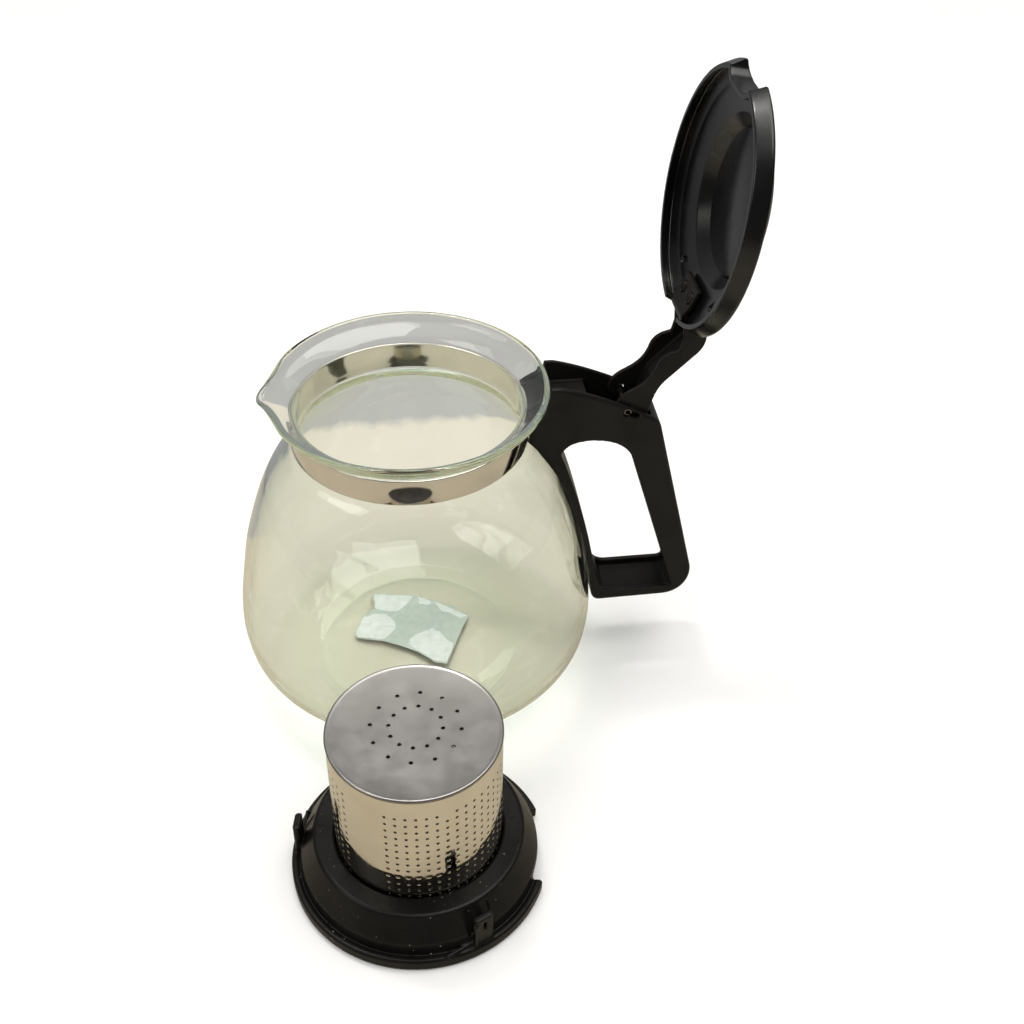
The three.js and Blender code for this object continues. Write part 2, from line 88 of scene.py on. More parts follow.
def bake(obj):
    """Applies the object's modifiers to its mesh."""
    seen = obj.evaluated_get(bpy.context.evaluated_depsgraph_get())
    made = bpy.data.meshes.new_from_object(seen)
    obj.modifiers.clear()
    obj.data = made
    return obj


def combine(obj, others, operation="DIFFERENCE"):
    """Cuts the other objects from obj, or adds them, and removes them."""
    for other in others:
        step = obj.modifiers.new("combine", "BOOLEAN")
        step.operation, step.solver, step.object = operation, "MANIFOLD", other
        bake(obj)
        bpy.data.objects.remove(other)
    return obj


def moulded(obj, voxel, passes):
    """Remeshes a solid evenly and softens its edges, as a moulding's are."""
    even = obj.modifiers.new("even", "REMESH")
    even.mode, even.voxel_size, even.use_smooth_shade = "VOXEL", voxel * MM, True
    soft = obj.modifiers.new("soft", "SMOOTH")
    soft.factor, soft.iterations = 0.5, passes
    bake(obj)
    obj.data.shade_smooth()
    return obj


def bevelled(obj, width, segments=3, angle=40):
    """Rounds the sharp edges."""
    step = obj.modifiers.new("bevel", "BEVEL")
    step.width, step.segments, step.limit_method = width * MM, segments, "ANGLE"
    step.angle_limit, step.harden_normals = math.radians(angle), False
    bake(obj)
    obj.data.set_sharp_from_angle(angle=math.radians(50))
    return obj


def moved(obj, matrix):
    """Moves the mesh itself, so the object stays at the origin."""
    obj.data.transform(matrix)
    return obj


def spline(points, steps):
    """Points on the Catmull-Rom curve through the given points."""
    p = np.array([points[0], *points, points[-1]], float)
    spans = len(points) - 1
    out = []
    for i in range(steps + 1):
        t = spans * i / steps
        k = min(int(t), spans - 1)
        w = t - k
        a, b, c, d = p[k : k + 4]
        out.append(0.5 * (2 * b + (c - a) * w + (2 * a - 5 * b + 4 * c - d) * w**2
                          + (3 * b - a - 3 * c + d) * w**3))
    return np.array(out)


def outline(text, steps):
    """Points of a path written with M, L, Q and C, as in a drawing."""
    points = []
    for part in text.replace(",", " ").replace("M", "|M").replace("L", "|L").replace(
            "Q", "|Q").replace("C", "|C").split("|")[1:]:
        kind, numbers = part[0], [float(n) for n in part[1:].split()]
        knots = np.array(numbers).reshape(-1, 2)
        if kind in "ML":
            points.extend(knots)
            continue
        start = points[-1]
        for i in range(1, steps + 1):
            t = i / steps
            if kind == "Q":
                points.append((1 - t) ** 2 * start + 2 * t * (1 - t) * knots[0] + t * t * knots[1])
            else:
                points.append((1 - t) ** 3 * start + 3 * t * (1 - t) ** 2 * knots[0]
                              + 3 * t * t * (1 - t) * knots[1] + t**3 * knots[2])
    return [tuple(p) for p in points]


def lathe(name, profile, turns=180, closed=False, centre=(0, 0), shape=None):
    """Turns (radius, height) points about an upright axis. A closed profile makes a ring.

    shape, if given, moves each point: it takes and returns (x, y, z)."""
    points, faces, rows = [], [], []
    for radius, height in profile:
        if radius < 1e-6:
            rows.append([len(points)] * turns)
            points.append((0, 0, height))
        else:
            rows.append(list(range(len(points), len(points) + turns)))
            for k in range(turns):
                a = 2 * math.pi * k / turns
                points.append((radius * math.cos(a), radius * math.sin(a), height))
    pairs = list(zip(rows, rows[1:] + rows[:1] if closed else rows[1:]))
    for low, high in pairs:
        for k in range(turns):
            n = (k + 1) % turns
            faces.append((low[k], low[n], high[n], high[k]))
    if shape:
        points = [shape(*p) for p in points]
    points = [(x + centre[0], y + centre[1], z) for x, y, z in points]
    return mesh_object(name, points, faces)


def slab(name, points, width):
    """An outline in X and Z, extruded along Y to half the given width on both sides."""
    n = len(points)
    verts = [(x, side * width / 2, z) for side in (-1, 1) for x, z in points]
    faces = [tuple(range(n)), tuple(range(n, 2 * n))]
    faces += [(i, (i + 1) % n, n + (i + 1) % n, n + i) for i in range(n)]
    return mesh_object(name, verts, faces, smooth=False)


def prism(name, points, z0, z1):
    """An outline in X and Y, extruded up from z0 to z1."""
    n = len(points)
    verts = [(x, y, z) for z in (z0, z1) for x, y in points]
    faces = [tuple(range(n)), tuple(range(n, 2 * n))]
    faces += [(i, (i + 1) % n, n + (i + 1) % n, n + i) for i in range(n)]
    return mesh_object(name, verts, faces, smooth=False)


def block(x0, x1, y0, y1, z0, z1):
    """A box between the given limits."""
    return prism("block", [(x0, y0), (x1, y0), (x1, y1), (x0, y1)], z0, z1)


def round_points(radius, turns=32, centre=(0, 0)):
    """Points around a circle."""
    return [(centre[0] + radius * math.cos(2 * math.pi * k / turns),
             centre[1] + radius * math.sin(2 * math.pi * k / turns)) for k in range(turns)]


def rod_y(x, z, radius):
    """A rod along Y, long enough to pass through the handle and the arm."""
    return slab("rod", round_points(radius, centre=(x, z)), 30.0)


def rod_x(radius, x0, x1, z):
    """A rod along X at the given height."""
    obj = prism("rod", round_points(radius), x0, x1)
    return moved(obj, Matrix.Translation((0, 0, z * MM)) @ Matrix(
        ((0, 0, 1, 0), (0, 1, 0, 0), (-1, 0, 0, 0), (0, 0, 0, 1))))


def turned(obj, degrees):
    """Turns the mesh about the Z axis."""
    return moved(obj, Matrix.Rotation(math.radians(degrees), 4, "Z"))


LID_SWING = (Matrix.Translation((HINGE[0] * MM, 0, HINGE[1] * MM))
             @ Matrix.Rotation(math.radians(OPEN_DEG), 4, "Y")
             @ Matrix.Translation((-HINGE[0] * MM, 0, -HINGE[1] * MM)))


# ---------- materials ----------
class Look:
    """A Principled material built from object-space textures."""

    def __init__(self, name, **constants):
        self.material = bpy.data.materials.new(name)
        self.material.use_nodes = True
        self.tree = self.material.node_tree
        self.shader = self.tree.nodes["Principled BSDF"]
        for socket, value in constants.items():
            self.shader.inputs[socket.replace("_", " ")].default_value = value
        self.place = self.node("ShaderNodeTexCoord").outputs["Object"]

    def node(self, kind, inputs=None, **settings):
        """A new node. Inputs are values or the sockets to link, and settings are its properties."""
        made = self.tree.nodes.new(kind)
        for key, value in settings.items():
            setattr(made, key, value)
        for key, value in (inputs or {}).items():
            if isinstance(value, bpy.types.NodeSocket):
                self.tree.links.new(value, made.inputs[key])
            else:
                made.inputs[key].default_value = value
        return made

    def stretched(self, scale, turn=(0, 0, 0)):
        """Texture coordinates scaled and turned."""
        return self.node("ShaderNodeMapping", {
            "Vector": self.place, "Scale": scale, "Rotation": turn}).outputs[0]

    def noise(self, size, detail=3.0, rough=0.5, where=None, distortion=0.0):
        """Noise with features of the given size in millimetres."""
        return self.node("ShaderNodeTexNoise", {
            "Vector": where or self.place, "Scale": 1 / (size * MM), "Detail": detail,
            "Roughness": rough, "Distortion": distortion}).outputs["Fac"]

    def specks(self, spacing, share):
        """1 in small sparse dots, and 0 elsewhere."""
        cells = self.node("ShaderNodeTexVoronoi", {
            "Vector": self.place, "Scale": 1 / (spacing * MM), "Randomness": 1.0})
        return self.spread(cells.outputs["Distance"], share, share * 0.6, 0.0, 1.0)

    def spread(self, value, low, high, to_low, to_high):
        """value from low..high mapped to to_low..to_high and clamped."""
        return self.node("ShaderNodeMapRange", {
            0: value, 1: low, 2: high, 3: to_low, 4: to_high}).outputs[0]

    def math(self, operation, a, b):
        return self.node("ShaderNodeMath", {0: a, 1: b}, operation=operation).outputs[0]

    def mix(self, factor, a, b):
        mixer = self.node("ShaderNodeMix", data_type="RGBA")
        for key, value in ((0, factor), (6, a), (7, b)):
            if isinstance(value, bpy.types.NodeSocket):
                self.tree.links.new(value, mixer.inputs[key])
            else:
                mixer.inputs[key].default_value = value if key == 0 else (*value, 1)
        return mixer.outputs[2]

    def put(self, socket, value):
        self.tree.links.new(value, self.shader.inputs[socket])

    def bump(self, *layers):
        """Layers of (height, distance in millimetres, strength)."""
        normal = None
        for height, distance, strength in layers:
            made = self.node("ShaderNodeBump", {
                "Height": height, "Distance": distance * MM, "Strength": strength})
            if normal:
                self.tree.links.new(normal, made.inputs["Normal"])
            normal = made.outputs[0]
        self.put("Normal", normal)


def glass_look():
    """Clear glass, green where it is thick.

    Lamps shine straight through it to what is inside. Light that a sharp reflection has caught
    between its faces is let out at the next face, because otherwise the rim turns black.
    """
    look = Look("clear_glass", Transmission_Weight=1.0, IOR=1.47, Metallic=0.0)
    look.put("Base Color", look.mix(look.spread(look.noise(38, 2), 0.3, 0.7, 0, 1),
                                    (0.966, 0.966, 0.952), (0.983, 0.981, 0.970)))
    smear = look.spread(look.noise(16, 5, 0.6, distortion=0.6), 0.60, 0.78, 0.0, 0.04)
    look.put("Roughness", smear)
    wave = look.noise(24, 1.5, 0.4, look.stretched((1, 1, 0.55)))
    look.bump((wave, 0.9, 0.35), (look.noise(6, 1.0, 0.3), 0.08, 0.25))
    path = look.node("ShaderNodeLightPath")

    def mix_shader(ray, a, b):
        return look.node("ShaderNodeMixShader", {0: path.outputs[ray], 1: a, 2: b}).outputs[0]

    glass = look.shader.outputs[0]
    freed = look.node("ShaderNodeBsdfTransparent", {"Color": (0.97, 0.985, 0.96, 1)}).outputs[0]
    lit = look.node("ShaderNodeBsdfTransparent", {"Color": (0.76, 0.765, 0.74, 1)}).outputs[0]
    seen = mix_shader("Is Reflection Ray", glass, mix_shader("Is Singular Ray", glass, freed))
    end = look.tree.nodes["Material Output"]
    look.tree.links.new(mix_shader("Is Shadow Ray", seen, lit), end.inputs["Surface"])
    tint = look.node("ShaderNodeVolumeAbsorption", {"Color": (0.86, 0.955, 0.895, 1), "Density": 80.0})
    look.tree.links.new(tint.outputs[0], end.inputs["Volume"])
    return look.material


def black_look(name, dark, light, rough, specular, grain=0.35, dust=0.0):
    """Moulded black plastic: faint mottling, fine grain, edges lightened partly as wear and partly as a
    painted highlight, and some dust.
    """
    look = Look(name, Specular_IOR_Level=specular)
    mottled = look.mix(look.spread(look.noise(13, 4, 0.6), 0.35, 0.65, 0, 1), dark, light)
    # Lighter convex edges: partly wear, partly a painted highlight along edges that catch the light.
    edge = look.spread(look.node("ShaderNodeNewGeometry").outputs["Pointiness"], 0.515, 0.58, 0.0, 0.55)
    wear_and_highlight = look.math("MULTIPLY", edge, look.spread(look.noise(5, 3), 0.4, 0.62, 0.25, 1.0))
    colour = look.mix(wear_and_highlight, mottled, tuple(c * 3.2 for c in light))
    if dust:
        bits = look.math("MULTIPLY", look.specks(3.4, 0.085),
                         look.spread(look.noise(22, 2), 0.48, 0.6, 0, dust))
        colour = look.mix(bits, colour, (0.34, 0.32, 0.28))
    look.put("Base Color", colour)
    worn = look.spread(look.noise(9, 5, 0.65), 0.3, 0.7, rough * 0.82, rough * 1.22)
    look.put("Roughness", worn)
    look.bump((look.noise(0.45, 2), 0.03, grain), (look.noise(7, 2), 0.12, 0.25))
    return look.material


def steel_look(name, dark, light, rough, brush=(1, 1, 14), brush_depth=0.2):
    """Rolled steel: faint waviness, smears and fine scratches along one direction."""
    look = Look(name, Metallic=1.0, IOR=2.5)
    look.put("Base Color", look.mix(look.spread(look.noise(17, 4, 0.6), 0.3, 0.7, 0, 1), dark, light))
    along = look.stretched(brush)
    scratch = look.noise(2.4, 4, 0.7, along)
    smear = look.noise(11, 4, 0.6, distortion=0.5)
    base = look.spread(smear, 0.35, 0.7, rough * 0.6, rough * 1.5)
    look.put("Roughness", look.math("ADD", base, look.spread(scratch, 0.5, 0.8, 0.0, 0.10)))
    look.bump((look.noise(12, 1), 0.25, 0.25), (scratch, 0.02, brush_depth))
    return look.material


def disc_look():
    """The infuser's end disc: satin steel, faintly cloudy, with fine scratches."""
    look = Look("satin_steel", Metallic=1.0, IOR=2.5)
    cloud = look.noise(14, 4, 0.5, distortion=0.3)
    look.put("Base Color", look.mix(look.spread(cloud, 0.3, 0.7, 0, 1),
                                    (0.29, 0.277, 0.267), (0.35, 0.336, 0.325)))
    lines = look.noise(1.1, 3, 0.6, look.stretched((1, 10, 1), (0, 0, math.radians(12))))
    blot = look.spread(look.noise(8, 3, 0.6), 0.35, 0.65, 0.30, 0.37)
    look.put("Roughness", look.math("ADD", blot, look.spread(lines, 0.4, 0.7, -0.02, 0.03)))
    look.bump((look.noise(15, 2), 0.5, 0.22), (lines, 0.012, 0.2), (look.noise(0.6, 2), 0.015, 0.2))
    return look.material


def paper_look(name, dark, light):
    """Matt paper, a little creased and stained."""
    look = Look(name, Metallic=0.0, Specular_IOR_Level=0.3)
    look.put("Base Color", look.mix(look.spread(look.noise(3.5, 5, 0.7), 0.35, 0.65, 0, 1), dark, light))
    look.put("Roughness", look.spread(look.noise(6, 3), 0.3, 0.7, 0.5, 0.8))
    look.bump((look.noise(0.35, 3), 0.05, 0.5), (look.noise(4.5, 3, 0.6), 0.35, 0.5))
    return look.material


GLASS = glass_look()
BLACK = black_look("black_handle_plastic", (0.0062, 0.0056, 0.005), (0.0095, 0.0086, 0.0076), 0.40, 0.17)
LID_BLACK = black_look("black_lid_plastic", (0.003, 0.003, 0.0032), (0.005, 0.005, 0.0052), 0.22, 0.5,
                       grain=0.12)
COLLAR_BLACK = black_look("black_collar_plastic", (0.0042, 0.0038, 0.0035), (0.0075, 0.0067, 0.006),
                          0.30, 0.16, grain=0.2, dust=0.8)
BAND_STEEL = steel_look("polished_band_steel", (0.66, 0.63, 0.57), (0.74, 0.71, 0.65), 0.07)
BASKET_STEEL = steel_look("polished_basket_steel", (0.70, 0.65, 0.56), (0.77, 0.72, 0.62), 0.07,
                          brush=(1, 1, 0.07), brush_depth=0.06)
SCREW_STEEL = steel_look("dark_screw_steel", (0.12, 0.115, 0.11), (0.20, 0.195, 0.185), 0.28)
DISC_STEEL = disc_look()
PAPER = paper_look("torn_paper", (0.56, 0.60, 0.575), (0.67, 0.71, 0.685))
GLUE = paper_look("paper_backing", (0.38, 0.44, 0.40), (0.455, 0.515, 0.47))


def piece(obj, look, body, slot, *nodes):
    """Gives a finished mesh its material, its body and the nodes it stands for."""
    obj.data.materials.clear()
    obj.data.materials.append(look)
    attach(obj, body)
    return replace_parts(obj, *nodes)


# ---------- glass ----------
BODY = [(BASE_R, 0), (48.2, 3.0), (59.3, 9.6), (68.9, 18.6), (71.45, 28.5), (71.2, 39), (69.3, 51.5),
        (65.9, 68.7), (58.1, 91.6), (48.8, 107.8), (45.0, 112.6), (NECK_R, NECK_LOW)]
FLARE = [(NECK_R, NECK_TOP), (44.5, 127.2), (47.0, 129.2), (50.4, 131.2), (RIM_R - 0.2, RIM_Z - 1.2)]


def glass_outside():
    """Half outline of the outside with its outward directions."""
    neck = [(NECK_R, NECK_LOW + (NECK_TOP - NECK_LOW) * i / 10) for i in range(1, 10)]
    points = np.array([*spline(BODY, 130), *neck, *spline(FLARE, 34)])
    along = np.gradient(points, axis=0)
    along /= np.linalg.norm(along, axis=1)[:, None]
    return points, np.column_stack((along[:, 1], -along[:, 0]))


def spout(x, y, z):
    """Draws the rim out into a pouring lip at -X and pinches it in on both sides."""
    radius = math.hypot(x, y)
    if radius < 1:
        return x, y, z
    a = math.atan2(y, -x)
    rise = min(max((z - NECK_TOP - 1) / (RIM_Z - NECK_TOP - 1), 0), 1)
    lip = math.exp(-((a / SPOUT_ANGLE) ** 2))
    side = math.exp(-(((abs(a) - 0.32) / 0.13) ** 2))
    scale = 1 + rise**2 * (SPOUT_OUT * lip - SPOUT_PINCH * side) / radius
    return x * scale, y * scale, z - rise**3 * 1.4 * lip


def base_rise(r):
    """How far the glass floor rises above its middle."""
    return 1.2 * (r / (BASE_R - 3)) ** 8


def glass_pot():
    """The glass body, one closed skin: foot, outside, rolled rim, inside and floor."""
    outside, out = glass_outside()
    inside = outside - out * GLASS_T
    below_rim = (inside[:, 1] < NECK_TOP) | (inside[:, 0] < RIM_R - 2 * BEAD)
    keep = (inside[:, 1] > BASE_T + 1.2) & below_rim
    bead = [(RIM_R - BEAD + BEAD * math.cos(t), RIM_Z + BEAD * math.sin(t))
            for t in np.linspace(-0.35, math.pi + 0.1, 15)]
    floor = [(r, BASE_T + base_rise(r)) for r in np.linspace(BASE_R - 2.2, 0.0, 24)]
    foot = [(r, 0.9 * (1 - (r / BASE_R) ** 6)) for r in np.linspace(0.0, BASE_R - 0.6, 24)]
    profile = [*foot, *outside, *bead, *inside[keep][::-1], *floor]

    def hand_blown(x, y, z):
        """The inner face wanders a little, as blown glass does."""
        x, y, z = spout(x, y, z)
        r = math.hypot(x, y)
        if r < 1:
            return x, y, z
        sway = 0.22 * noise.noise(Vector((x, y, z * 0.7)) * 0.045)
        swell = sway * min(max((z - 6) / 20, 0), 1) * min(max((112 - z) / 12, 0), 1)
        inner = 1.0 if r < glass_radius(z) - 1.1 else 0.0
        return x * (1 - inner * abs(swell) / r), y * (1 - inner * abs(swell) / r), z

    return lathe("glass_pot", profile, 240, shape=hand_blown)


OUTSIDE = glass_outside()[0]


def glass_radius(z):
    """The radius of the glass's outside at a height."""
    return float(np.interp(z, OUTSIDE[:, 1], OUTSIDE[:, 0]))


piece(glass_pot(), GLASS, "pot", "glass", "glass_body")


# ---------- torn label on the glass base ----------
LABEL = [(-19.1, 30.6), (-0.3, 27.7), (16, 19), (22.9, 12.5), (19.1, 5.4), (15.2, -5.2), (10.5, -16),
         (6, -14.9), (-2.8, -7.3), (-15.2, 0.4), (-27.3, 3.6), (-27.7, 6.8), (-24, 16.6), (-18.5, 21.7)]
PATCHES = [
    [(-18.6, 29.9), (-0.6, 27.2), (-3.0, 22.8), (-7.5, 18.2), (-12.7, 18.6), (-18.3, 21.4)],
    [(-23.6, 16.3), (-19.0, 18.0), (-13.9, 17.4), (-10.0, 11.6), (-10.0, 7.4), (-13.2, 3.6), (-15.6, 1.2),
     (-27.0, 4.2), (-27.3, 7.0)],
    [(-5.6, -3.2), (-3.0, 2.4), (1.6, 4.8), (6.4, 6.6), (9.2, 3.4), (14.4, -5.4), (10.5, -15.2),
     (6.4, -14.2), (-1.8, -7.4)],
    [(1.2, 26.0), (4.5, 24.1), (6.9, 21.9), (5.3, 19.9), (1.9, 21.3)],
    [(8.6, 22.2), (12.7, 19.6), (22.4, 12.4), (19.4, 11.4), (15.0, 14.6), (11.2, 16.3)],
]


BACKING_Z, PATCH_Z, PAPER_T, PAPER_MESH = 3.36, 3.50, 0.10, 1.6


def torn_sheet(name, corners, z, rag, seed):
    """A thin sheet of paper with a torn edge, creased a little. rag is how far the edge wanders."""
    edge = []
    for i, a in enumerate(corners):
        b = corners[(i + 1) % len(corners)]
        steps = max(3, int(math.dist(a, b) / 0.7))
        for k in range(steps):
            t = k / steps
            x, y = a[0] + (b[0] - a[0]) * t, a[1] + (b[1] - a[1]) * t
            push = rag * noise.noise(Vector((x * 0.9, y * 0.9, seed)))
            nx, ny = b[1] - a[1], a[0] - b[0]
            size = math.hypot(nx, ny)
            edge.append((x + nx / size * push, y + ny / size * push))
    sheet = prism(name, edge, z, z + PAPER_T)
    work = bmesh.new()
    work.from_mesh(sheet.data)
    bmesh.ops.triangulate(work, faces=work.faces)
    for _ in range(2):
        long = [e for e in work.edges if e.calc_length() > PAPER_MESH * MM]
        bmesh.ops.subdivide_edges(work, edges=long, cuts=1)
        bmesh.ops.triangulate(work, faces=work.faces)
    for v in work.verts:
        crease = noise.noise(Vector((v.co.x * 260, v.co.y * 260, seed)))
        v.co.z += (0.11 * crease + base_rise(math.hypot(v.co.x, v.co.y) / MM)) * MM
    work.to_mesh(sheet.data)
    work.free()
    return sheet


def torn_label():
    """What is left of a label: its backing sheet, with patches of the paper that covered it."""
    base = torn_sheet("torn_label", LABEL, BACKING_Z, 0.35, 1.0)
    base.data.materials.append(GLUE)
    for i, corners in enumerate(PATCHES):
        patch = torn_sheet(f"torn_patch_{i}", corners, PATCH_Z, 0.7, 4.0 + i)
        patch.data.materials.append(PAPER)
        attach(patch, "pot")
    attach(base, "pot")
    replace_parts(base, "label_remnant")


torn_label()


# ---------- neck band ----------
def strip(name, centre_line, thickness, z0, z1):
    """A standing strip along a line in X and Y, with rounded edges."""
    line = np.array(centre_line, float)
    along = np.gradient(line, axis=0)
    along /= np.linalg.norm(along, axis=1)[:, None]
    side = np.column_stack((along[:, 1], -along[:, 0]))
    half = thickness / 2
    section = []
    for z, s in ((z1, 1), (z0, -1)):
        for t in np.linspace(0, math.pi, 7):
            section.append((s * half * math.cos(t), z + s * (half * math.sin(t) - half)))
    count = len(section)
    points = [(p[0] + n[0] * o, p[1] + n[1] * o, z) for p, n in zip(line, side) for o, z in section]
    faces = [tuple(range(count)), tuple(range(len(points) - count, len(points)))]
    for i in range(len(line) - 1):
        for k in range(count):
            n = (k + 1) % count
            faces.append((i * count + k, i * count + n, (i + 1) * count + n, (i + 1) * count + k))
    return mesh_object(name, points, faces)


def neck_band():
    """The clamp band around the neck, with an ear on each side of its gap."""
    middle = NECK_R + GAP + BAND_T / 2
    start = BAND_GAP_ANGLE + 0.035
    arc = [(middle * math.cos(a), middle * math.sin(a))
           for a in np.linspace(start, 2 * math.pi - start, 220)]
    y = (NECK_R + GAP) * math.sin(BAND_GAP_ANGLE) - BAND_T / 2
    ear = [(EAR_OUT - BAND_T / 2, y - EAR_HOOK + 0.4), (EAR_OUT - BAND_T / 2, y - 0.9),
           (EAR_OUT - 0.7, y - 0.3), (EAR_OUT - 1.4, y), (50, y), (47.5, y), (46.2, y + 0.1),
           (45.2, y + 0.55)]
    line = [*ear, *arc, *[(px, -py) for px, py in reversed(ear)]]
    return strip("steel_neck_band", line, BAND_T, BAND_LOW, BAND_TOP)


piece(neck_band(), BAND_STEEL, "pot", "polished_steel", "neck_band")


# ---------- handle ----------
HANDLE = ("M40,136.5 L55.3,136.5 C66,134 80,127.5 90.5,121.4 Q94,119.8 95,116 L113.3,43.6 "
          "C114.6,36 110,29.2 102.5,29 L75.6,28.6 Q72.6,28.7 72,32.4 L70,46 L40,60")
OPENING = ("M56.6,106.5 C58.5,111.3 63,112.3 68.5,112.2 C76,112 83,109 85.2,101 L105.6,36 "
           "Q106.2,33.4 104,33.4 L80.5,33.4 C76,34 74.4,37.5 73.2,43 C70.5,60 66.5,80 56.6,106.5")
GRIP_CHANNEL = [(82, 101), (89, 102.5), (96, 102.5), (111, 43.4), (109.6, 35.5), (104.5, BAR_FLOOR),
                (78, BAR_FLOOR), (76.5, 33), (80, 60), (98, 60)]
TROUGH = [(30, LEDGE_Z), (LEDGE_END, LEDGE_Z), (LEDGE_END, POCKET_Z), (86, POCKET_Z), (91.6, 112.8),
          (91, 119), (90, 126), (80, 145), (30, 145)]
HOUSING = [(40, 112), (50, 109.8), (LEDGE_END - PLATE, 113.5), (LEDGE_END - PLATE, LEDGE_Z - LEDGE_T),
           (40, LEDGE_Z - LEDGE_T)]


def glass_keep_out(clearance):
    """The space the glass fills, with a clearance around it."""
    outside, out = glass_outside()
    wall = outside + out * clearance
    rim = RIM_R + clearance
    profile = [(0, -2), (wall[0][0], -2), *wall, (rim, RIM_Z), (rim, 150), (0, 150)]
    return lathe("keep_out", profile, 180)


def handle():
    """The handle: hollow channels, the bore for the clamp screw and the key-hole for the pin."""
    inner = HANDLE_W - 2 * PLATE
    body = bevelled(slab("moulded_handle", outline(HANDLE, 16), HANDLE_W), 1.3, 4, angle=60)
    dx, dz = SLOT_REACH
    bore = PIN_R + GAP
    slot = bore - 0.5
    ux, uz = dx / math.hypot(dx, dz), dz / math.hypot(dx, dz)
    link = [(HINGE[0] - uz * slot * s + t * dx, HINGE[1] + ux * slot * s + t * dz)
            for t, s in ((0, 1), (1, 1), (1, -1), (0, -1))]
    band_r = NECK_R + BAND_T + 2 * GAP
    cutters = [
        slab("opening", outline(OPENING, 16), 40),
        slab("grip", GRIP_CHANNEL, inner), slab("trough", TROUGH, inner), slab("housing", HOUSING, inner),
        rod_x(bore, 60, 75, CLAMP_Z),
        rod_y(*HINGE, bore), rod_y(HINGE[0] + dx, HINGE[1] + dz, slot), slab("link", link, 30),
        glass_keep_out(0.5),
        lathe("band_room", [(0, BAND_LOW - 0.8), (band_r, BAND_LOW - 0.8), (band_r, BAND_TOP + 0.5),
                            (0, BAND_TOP + 0.5)], 120),
    ]
    return moulded(combine(body, cutters), 0.38, 3)


piece(handle(), BLACK, "pot", "handle_black", "handle_frame")


def roll_pin():
    """A rolled spring pin: a short tube slit along one side."""
    outer, inner = PIN_R - 0.02, 0.9
    section = [(outer * math.cos(a), outer * math.sin(a)) for a in np.linspace(-0.5, 5.2, 34)]
    section += [(inner * math.cos(a), inner * math.sin(a)) for a in np.linspace(5.2, -0.5, 30)]
    points = [(HINGE[0] + x, HINGE[1] + z) for x, z in section]
    return bevelled(slab("hinge_roll_pin", points, HANDLE_W - 1.6), 0.12, 2)


piece(roll_pin(), SCREW_STEEL, "pot", "polished_steel", "hinge_pin")

for node in ("clamp_plate", "clamp_screw"):
    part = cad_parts[node]
    part.data.materials.clear()
    part.data.materials.append(SCREW_STEEL)


# ---------- lid, built closed and then swung open ----------
def lid_skirt(height):
    """The radius of the skirt's outside at a height above its lower edge."""
    return LID_LOW_R + (LID_TOP_R - LID_LOW_R) * height / SKIRT_H


def lid_outside():
    """Half outline of the lid's outside, from the skirt's lower edge to the middle of its boss."""
    shoulder = [(LID_TOP_R - 0.9 + 0.9 * math.cos(t), SKIRT_H - 0.6 + 1.1 * math.sin(t))
                for t in np.linspace(0, 1.45, 8)]
    roof = spline([(45.2, SKIRT_H + 0.75), (40, 8.0), (33.5, 9.6), (31.6, 10.4)], 24)
    return [(lid_skirt(0), 0), *shoulder, *roof, (27.2, LID_BOSS - 1), (26.5, LID_BOSS - 0.5),
            (BOSS_R, LID_BOSS - 0.1), (BOSS_R - 1.4, LID_BOSS), (0, LID_BOSS)]


def lid_inside():
    """Half outline of the underside: a conical roof with a conical recess in the middle."""
    return [(lid_skirt(0) - LID_T, 0), (LID_TOP_R - LID_T, SKIRT_H - LID_T), (40, 8.0 - LID_T),
            (33.5, 9.6 - LID_T), (30, 8.7), (BOSS_R - 0.1, LID_BOSS - LID_T), (0, LID_BOSS - LID_T)]


def notch_outline(margin):
    """Outline of the pour notch in the lid, grown by a margin."""
    half = NOTCH_HALF + margin
    edge = LID_X - LID_TOP_R
    inner = edge + NOTCH_DEEP + margin
    return outline(f"M-70,{-half - 4} L{edge},{-half} C{inner},{-half} {inner},{-half / 2} {inner},0 "
                   f"C{inner},{half / 2} {inner},{half} {edge},{half} L-70,{half + 4}", 16)


def lid_disc(name, profile, turns=180):
    """A turned shape at the closed lid's place, its heights from the skirt's lower edge."""
    obj = lathe(name, profile, turns)
    return moved(obj, Matrix.Translation((LID_X * MM, 0, LID_Z * MM)))


SHANK_HOLE_R, HEAD_HOLE_R = 1.3, 2.4


def screw_holes(obj):
    """Cuts the holes for both arm screws, wider at their heads."""
    for y in (-ARM_SCREW_Y, ARM_SCREW_Y):
        for radius, low, high in ((SHANK_HOLE_R, ARM_SCREW_Z, ARM_SCREW_TOP + 0.3),
                                  (HEAD_HOLE_R, ARM_SCREW_Z - 4, ARM_SCREW_Z + 0.5)):
            combine(obj, [prism("hole", round_points(radius, 24, (ARM_SCREW_X, y)), low, high)])
    return obj


def half_moon(x, y, depth, heading):
    """A half-round sink mark in the underside, x and y from the lid's centre."""
    radius = 2.3
    arc = [(radius * math.cos(t), radius * math.sin(t)) for t in np.linspace(0, math.pi, 14)]
    obj = prism("half_moon", arc, LID_Z, LID_Z + depth)
    place = Matrix.Translation(((LID_X + x) * MM, y * MM, 0))
    return moved(obj, place @ Matrix.Rotation(math.radians(heading), 4, "Z"))


